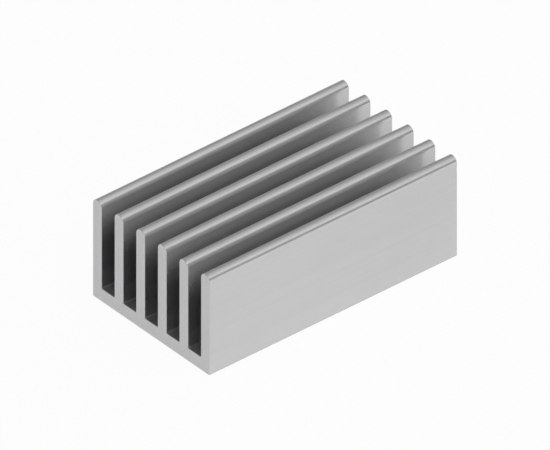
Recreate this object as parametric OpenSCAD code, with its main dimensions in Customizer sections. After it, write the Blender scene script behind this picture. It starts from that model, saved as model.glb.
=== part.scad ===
// Extruded heat sink: one aluminium comb of straight fins on a flat base.
//
// The section lies in the XZ plane and is extruded along Y. The origin is the
// centre of the flat underside, and +Z points from the base to the fin tips.
// All lengths are in millimetres.

/* [Extrusion] */
// Cut length of the extrusion
sink_l = 50; // [20:5:200]

/* [Base] */
// Thickness of the base, from its underside to the floor of the gaps
base_t = 2.45; // [1.5:0.05:8]
// Radius along the two long edges of the underside
edge_r = 0.2; // [0.1:0.05:0.6]

/* [Fins] */
// Number of fins, the outer two flush with the sides of the base
fin_count = 6; // [2:1:16]
// Thickness of one fin
fin_t = 2.1; // [1:0.1:4]
// Clear width between two neighbouring fins
fin_gap = 3.1; // [1.5:0.1:8]
// Height of a fin, from the floor of the gaps to the crest of its tip
fin_h = 16.15; // [6:0.05:50]
// Radius of the fillet where a fin meets the floor of a gap
root_r = 0.25; // [0.1:0.05:0.6]

/* [Hidden] */

// Each tip is a half round across the full thickness of its fin.
tip_r = fin_t / 2;
fin_pitch = fin_t + fin_gap;
sink_w = fin_count * fin_t + (fin_count - 1) * fin_gap;
// How far the pieces of the section run into each other to join as one.
bite = 0.5;
// Sides of a full circle.
circle_sides = 64;

// Centre line of fin i, counted from the -X side.
function fin_x(i) = -sink_w / 2 + fin_t / 2 + i * fin_pitch;

// The sliver between a square corner at the origin and an arc of radius r
// that touches both of its sides, carried on behind the corner by the bite.
// Taken away it rounds an outside corner, and added it fillets an inside one.
module corner_sliver(r) {
    difference() {
        translate([-bite, -bite]) square(r + bite);
        translate([r, r]) circle(r = r, $fn = circle_sides);
    }
}

// Base, with its underside on the x axis and its two lower corners rounded.
module base_section() {
    difference() {
        translate([-sink_w / 2, 0]) square([sink_w, base_t]);
        for (flip = [0, 1]) {
            mirror([flip, 0]) translate([-sink_w / 2, 0]) corner_sliver(edge_r);
        }
    }
}

// One fin on its own centre line, with its root at y = 0.
module fin_section() {
    translate([-fin_t / 2, -bite]) square([fin_t, bite + fin_h - tip_r]);
    translate([0, fin_h - tip_r]) circle(r = tip_r, $fn = circle_sides);
}

// The two fillets on the floor of one gap, centred on x = 0.
module gap_fillets() {
    for (flip = [0, 1]) {
        mirror([flip, 0]) translate([-fin_gap / 2, 0]) corner_sliver(root_r);
    }
}

// The whole comb, with x across the fins and y up.
module comb_section() {
    base_section();
    translate([0, base_t]) {
        for (i = [0 : fin_count - 1]) {
            translate([fin_x(i), 0]) fin_section();
        }
        for (i = [0 : fin_count - 2]) {
            translate([fin_x(i) + fin_pitch / 2, 0]) gap_fillets();
        }
    }
}

module heat_sink() {
    color([0.75, 0.75, 0.75])
        translate([0, sink_l / 2, 0])
        rotate([90, 0, 0])
        linear_extrude(height = sink_l)
        comb_section();
}

heat_sink();
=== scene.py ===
import math

import bmesh
import bpy
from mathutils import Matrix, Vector


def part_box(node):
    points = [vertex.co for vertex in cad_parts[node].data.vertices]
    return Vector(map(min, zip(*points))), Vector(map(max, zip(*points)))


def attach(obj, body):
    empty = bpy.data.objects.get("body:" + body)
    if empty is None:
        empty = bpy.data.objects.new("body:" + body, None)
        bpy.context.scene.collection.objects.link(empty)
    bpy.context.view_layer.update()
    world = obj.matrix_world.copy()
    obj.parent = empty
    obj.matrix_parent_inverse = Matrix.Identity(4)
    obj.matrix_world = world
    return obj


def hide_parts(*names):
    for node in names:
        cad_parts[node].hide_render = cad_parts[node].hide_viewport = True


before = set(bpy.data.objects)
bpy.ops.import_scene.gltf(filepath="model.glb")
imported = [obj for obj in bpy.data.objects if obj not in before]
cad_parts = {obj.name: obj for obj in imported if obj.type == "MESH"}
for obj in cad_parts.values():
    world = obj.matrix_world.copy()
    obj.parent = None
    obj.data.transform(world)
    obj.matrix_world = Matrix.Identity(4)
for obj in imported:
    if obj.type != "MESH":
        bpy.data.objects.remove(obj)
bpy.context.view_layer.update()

# An extruded aluminium heat sink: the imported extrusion, with its two saw-cut ends
# deburred and a mill finish, on a white floor under soft round panels of light.

MM = 0.001
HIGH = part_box("heat_sink")[1]
HALF_LENGTH = HIGH.y
HALF_WIDTH = HIGH.x
CREST = HIGH.z / MM      # height of the fin tips, in millimetres

# --- edges of the cut ends, in millimetres ---
EDGE_BREAK = 0.08        # width of the deburred edge all round the two cut ends
BREAK_STEPS = 3
SHARP_ANGLE = 50.0       # degrees, above which an edge shades as a crease
FLAT_ANGLE = 0.5         # degrees, below which two CAD facets lie in one flat face

# --- mill finish: linear grey levels, and lengths in millimetres ---
GREY = 0.611
METALLIC = 0.6           # the rest is dull
TONE_SWING = 0.015       # how far each pattern takes the grey up and down, as a share
EDGE_WEAR_AND_HIGHLIGHT_GREY = 1.08         # grey of the deburred edges as a share of the open faces; wear and a painted highlight
STREAK_PITCH = 1.7       # broad streaks from the die, along the extrusion
DIE_PITCH = 0.24         # fine die lines
DIE_RUN = 70.0           # how far a die line runs before it fades
CLOUD_SIZE = 9.0         # patches of handling
SAW_PITCH = 0.3          # lines that the saw leaves on the cut ends
BLADE_CENTRE = (-120.0, 0.0, 90.0)
GRAIN_HEIGHT = 0.0005    # depth of the die lines and saw lines
# Painted shade: down the gaps the metal is made darker and less dull, to match how dark the picture's
# gaps are.
GAP_SHADE_START = 2.2      # depth in a gap at which that begins
GAP_SHADE_END = 7.5        # depth from which it is complete
PAINTED_GAP_SHADE_GREY = 0.9     # painted shade grey there, as a share of the open faces
GAP_SHADE_METALLIC = 0.89
PAINTED_ROOT_SHADE_GREY = 0.62         # a further painted shade for the floor of a gap and its fillets

# --- roughness, and what is added to it. Swings that crossed about 0.27 left streaks in the
# render, so each kind of face stays on one side of it ---
ROUGHNESS = 0.24
GRAIN_ROUGH = 0.02       # up and down with the die lines and saw lines
CLOUD_ROUGH = 0.01       # up and down with the handling
EDGE_ROUGH = -0.04       # on the deburred edges
CUT_ROUGH = 0.07         # on the cut ends
ROOT_ROUGH = 0.3         # on the floor of a gap and its fillets

# --- light: soft round panels set to match the picture's shading, over white ground ---
PANELS = {
    # azimuth from +X towards +Y, elevation, half angle, level in the middle
    "above": (20.0, 54.0, 45.0, 0.35),
    "far": (90.0, 42.0, 45.0, 0.67),
    "low": (105.0, 0.0, 50.0, 1.15),
    "right": (355.0, 45.0, 40.0, 2.25),
    "left": (210.0, 20.0, 45.0, 0.93),
}
HORIZON = (0.02, 0.05)   # height on the unit sphere at which the ground gives way to the panels

# --- floor ---
FLOOR_WHITE = 0.95       # how much of the floor is plain white to the camera and to reflections
FLOOR_GREY = 0.9         # the rest, which takes light and shadow
FLOOR_REACH = 2.0        # metres from the middle to each side

# --- camera, in degrees and millimetres ---
AZIMUTH = 50.0           # from -Y towards +X
ELEVATION = 35.264
VIEW_WIDTH = 85.1        # width of the picture in the plane of the part
AIM_HEIGHT = 9.6         # height on the part's middle axis that the camera looks at
CAMERA_DISTANCE = 400.0
CAMERA_CLIP = (10.0, 10000.0)


class Nodes:
    """Adds nodes to a tree. An input given as a socket is linked, and any other value is set.

    An input goes by its name, with _ for a space, or by its place, as i0, i1 and so on.
    """

    def __init__(self, tree):
        self.tree = tree
        tree.nodes.clear()

    def add(self, kind, output=0, settings=(), **inputs):
        node = self.tree.nodes.new("ShaderNode" + kind)
        for name, value in dict(settings).items():
            setattr(node, name, value)
        for name, value in inputs.items():
            by_number = name[0] == "i" and name[1:].isdigit()
            place = int(name[1:]) if by_number else name.replace("_", " ")
            self.give(node.inputs[place], value)
        return node.outputs[output] if output is not None else None

    def give(self, socket, value):
        if isinstance(value, bpy.types.NodeSocket):
            self.tree.links.new(value, socket)
        else:
            socket.default_value = value

    def math(self, operation, *values):
        inputs = {f"i{i}": value for i, value in enumerate(values)}
        return self.add("Math", settings={"operation": operation}, **inputs)

    def vector(self, operation, *values, output=0):
        inputs = {f"i{i}": value for i, value in enumerate(values)}
        return self.add("VectorMath", output, {"operation": operation}, **inputs)

    def spread(self, value, low, high, start=0.3, end=0.7):
        """Takes value from the range start..end to the range low..high."""
        return self.add("MapRange", Value=value, From_Min=start, From_Max=end, To_Min=low, To_Max=high)

    def blend(self, share, a, b):
        return self.add("Mix", settings={"data_type": "FLOAT"}, i0=share, i2=a, i3=b)


def direction(azimuth, elevation):
    """The unit vector at these angles in degrees, with the azimuth from +X towards +Y."""
    a, e = math.radians(azimuth), math.radians(elevation)
    return (math.cos(a) * math.cos(e), math.sin(a) * math.cos(e), math.sin(e))


def find_end_rim(bm):
    """The edges where a cut end meets the extruded faces."""
    rim = []
    for edge in bm.edges:
        at_end = all(abs(abs(v.co.y) - HALF_LENGTH) < 1e-7 for v in edge.verts)
        if at_end and [abs(f.normal.y) > 0.9 for f in edge.link_faces].count(True) == 1:
            rim.append(edge)
    return rim


def mark_faces(bm, broken):
    """Face attributes for the material: cut ends, broken edges, insides of gaps and their roots."""
    cut_end = bm.faces.layers.float.new("cut_end")
    edge_break = bm.faces.layers.float.new("edge_break")
    in_gap = bm.faces.layers.float.new("in_gap")
    in_root = bm.faces.layers.float.new("in_root")
    for face in bm.faces:
        centre = face.calc_center_median()
        is_end = abs(face.normal.y) > 0.99
        is_break = face in broken
        is_side = abs(centre.x) > HALF_WIDTH - 0.5 * MM
        is_under = face.normal.z < -0.5
        face[cut_end] = float(is_end)
        face[edge_break] = float(is_break)
        face[in_gap] = float(not (is_end or is_break or is_side or is_under))
        face[in_root] = float(face.normal.z > 0.1 and centre.z < HIGH.z / 2)


def finished_extrusion():
    """The extrusion with its cut ends deburred, which stands for the CAD node."""
    bm = bmesh.new()
    bm.from_mesh(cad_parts["heat_sink"].data)
    bmesh.ops.remove_doubles(bm, verts=bm.verts, dist=1e-8)
    bmesh.ops.dissolve_limit(
        bm, angle_limit=math.radians(FLAT_ANGLE), verts=bm.verts, edges=bm.edges
    )
    bm.normal_update()
    made = bmesh.ops.bevel(
        bm,
        geom=find_end_rim(bm),
        offset=EDGE_BREAK * MM,
        offset_type="OFFSET",
        segments=BREAK_STEPS,
        profile=0.5,
        affect="EDGES",
        clamp_overlap=False,
    )
    bm.normal_update()
    mark_faces(bm, set(made["faces"]))
    for face in bm.faces:
        face.smooth = True
    for edge in bm.edges:
        edge.smooth = edge.calc_face_angle(0.0) < math.radians(SHARP_ANGLE)
    mesh = bpy.data.meshes.new("heat_sink_finished")
    bm.to_mesh(mesh)
    bm.free()
    mesh.materials.append(mill_finish())
    piece = bpy.data.objects.new("heat_sink_finished", mesh)
    bpy.context.scene.collection.objects.link(piece)
    weighted = piece.modifiers.new("flat_faces_stay_flat", "WEIGHTED_NORMAL")
    weighted.keep_sharp = True
    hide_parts("heat_sink")
    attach(piece, "root")


def mill_finish():
    """Extruded aluminium: die lines along the extrusion, saw lines on the ends, worn edges with a
    painted highlight, and painted shade in the gaps.
    """
    material = bpy.data.materials.new("mill_finish_aluminium")
    material.use_nodes = True
    n = Nodes(material.node_tree)
    place = n.vector("MULTIPLY", n.add("TexCoord", 3), (1 / MM, 1 / MM, 1 / MM))
    cut_end = n.add("Attribute", 2, {"attribute_name": "cut_end"})
    edge_break = n.add("Attribute", 2, {"attribute_name": "edge_break"})
    in_gap = n.add("Attribute", 2, {"attribute_name": "in_gap"})
    in_root = n.add("Attribute", 2, {"attribute_name": "in_root"})

    def drawn_out(pitch, detail):
        stretched = n.vector("MULTIPLY", place, (1 / pitch, 1 / DIE_RUN, 1 / pitch))
        return n.add("TexNoise", Vector=stretched, Scale=1.0, Detail=detail, Roughness=0.6)

    streak = drawn_out(STREAK_PITCH, 2.0)
    die_line = drawn_out(DIE_PITCH, 2.0)
    from_blade = n.vector("DISTANCE", place, BLADE_CENTRE, output=1)
    saw_line = n.add(
        "TexNoise", 0, {"noise_dimensions": "1D"}, W=from_blade, Scale=1 / SAW_PITCH, Detail=2.0
    )
    cloud = n.add("TexNoise", Vector=place, Scale=1 / CLOUD_SIZE, Detail=3.0, Roughness=0.55)
    grain = n.blend(cut_end, die_line, saw_line)

    height = n.add("SeparateXYZ", 2, i0=place)
    depth = n.math("SUBTRACT", CREST, height)
    # Painted shade: the gaps grow darker and less dull with depth below the crest.
    painted_gap_shade = n.math("MULTIPLY", in_gap, n.spread(depth, 0.0, 1.0, GAP_SHADE_START, GAP_SHADE_END))

    darker, lighter = 1 - TONE_SWING, 1 + TONE_SWING
    grey = n.spread(streak, darker * GREY, lighter * GREY)
    grey = n.math("MULTIPLY", grey, n.spread(grain, darker, lighter))
    grey = n.math("MULTIPLY", grey, n.spread(cloud, darker, lighter))
    # deburred edges lighter: wear, and partly a painted highlight along the rims
    grey = n.math("MULTIPLY", grey, n.blend(edge_break, 1.0, EDGE_WEAR_AND_HIGHLIGHT_GREY))
    # painted shade down the gaps
    grey = n.math("MULTIPLY", grey, n.blend(painted_gap_shade, 1.0, PAINTED_GAP_SHADE_GREY))
    # painted shade on the floor of each gap and its fillets
    grey = n.math("MULTIPLY", grey, n.blend(in_root, 1.0, PAINTED_ROOT_SHADE_GREY))
    # the painted gap shade also makes the metal less dull there
    metallic = n.blend(painted_gap_shade, METALLIC, GAP_SHADE_METALLIC)

    rough = n.spread(grain, ROUGHNESS - GRAIN_ROUGH, ROUGHNESS + GRAIN_ROUGH)
    rough = n.math("ADD", rough, n.spread(cloud, -CLOUD_ROUGH, CLOUD_ROUGH))
    rough = n.math("ADD", rough, n.blend(edge_break, 0.0, EDGE_ROUGH))
    rough = n.math("ADD", rough, n.blend(cut_end, 0.0, CUT_ROUGH))
    rough = n.math("ADD", rough, n.blend(in_root, 0.0, ROOT_ROUGH))
    bump = n.add("Bump", Strength=1.0, Distance=GRAIN_HEIGHT * MM, Height=grain)

    colour = n.add("CombineColor", Red=grey, Green=grey, Blue=grey)
    surface = n.add(
        "BsdfPrincipled", Base_Color=colour, Metallic=metallic, Roughness=rough, Normal=bump
    )
    n.add("OutputMaterial", None, Surface=surface)
    return material


def floor():
    """A white floor. Camera and mirror rays see it nearly as bright as the white background."""
    material = bpy.data.materials.new("white_floor")
    material.use_nodes = True
    n = Nodes(material.node_tree)
    path = n.tree.nodes.new("ShaderNodeLightPath").outputs
    seen = n.math("MAXIMUM", path["Is Camera Ray"], path["Is Glossy Ray"])
    seen = n.math("MAXIMUM", seen, path["Is Transmission Ray"])
    lit = n.add("BsdfDiffuse", Color=(FLOOR_GREY, FLOOR_GREY, FLOOR_GREY, 1))
    white = n.add("Emission", Color=(1, 1, 1, 1), Strength=1.0)
    surface = n.add("MixShader", i0=n.math("MULTIPLY", seen, FLOOR_WHITE), i1=lit, i2=white)
    n.add("OutputMaterial", None, Surface=surface)

    mesh = bpy.data.meshes.new("floor")
    corners = [(x * FLOOR_REACH, y * FLOOR_REACH, 0) for x, y in ((-1, -1), (1, -1), (1, 1), (-1, 1))]
    mesh.from_pydata(corners, [], [(0, 1, 2, 3)])
    mesh.materials.append(material)
    piece = bpy.data.objects.new("floor", mesh)
    bpy.context.scene.collection.objects.link(piece)


def studio_world():
    """Soft round panels of light, and white ground that reaches to the horizon."""
    world = bpy.data.worlds.new("studio")
    bpy.context.scene.world = world
    world.use_nodes = True
    n = Nodes(world.node_tree)
    way = n.add("TexCoord", 0)
    level = 0.0
    for azimuth, elevation, half_angle, strength in PANELS.values():
        nearness = n.vector("DOT_PRODUCT", way, direction(azimuth, elevation), output=1)
        rim = math.cos(math.radians(half_angle))
        level = n.math("ADD", n.spread(nearness, 0.0, strength, rim, 1.0), level)
    above = n.spread(n.add("SeparateXYZ", 2, i0=way), 0.0, 1.0, *HORIZON)
    background = n.add("Background", Color=(1, 1, 1, 1), Strength=n.blend(above, 1.0, level))
    n.add("OutputWorld", None, Surface=background)


def camera():
    data = bpy.data.cameras.new("camera")
    data.type = "ORTHO"
    data.ortho_scale = VIEW_WIDTH * MM
    data.clip_start, data.clip_end = (limit * MM for limit in CAMERA_CLIP)
    lens = bpy.data.objects.new("camera", data)
    bpy.context.scene.collection.objects.link(lens)
    back = Vector(direction(AZIMUTH - 90, ELEVATION))
    lens.location = Vector((0, 0, AIM_HEIGHT * MM)) + back * CAMERA_DISTANCE * MM
    lens.rotation_mode = "QUATERNION"
    lens.rotation_quaternion = (-back).to_track_quat("-Z", "Y")
    bpy.context.scene.camera = lens


finished_extrusion()
floor()
studio_world()
camera()
bpy.context.scene.view_settings.view_transform = "Standard"
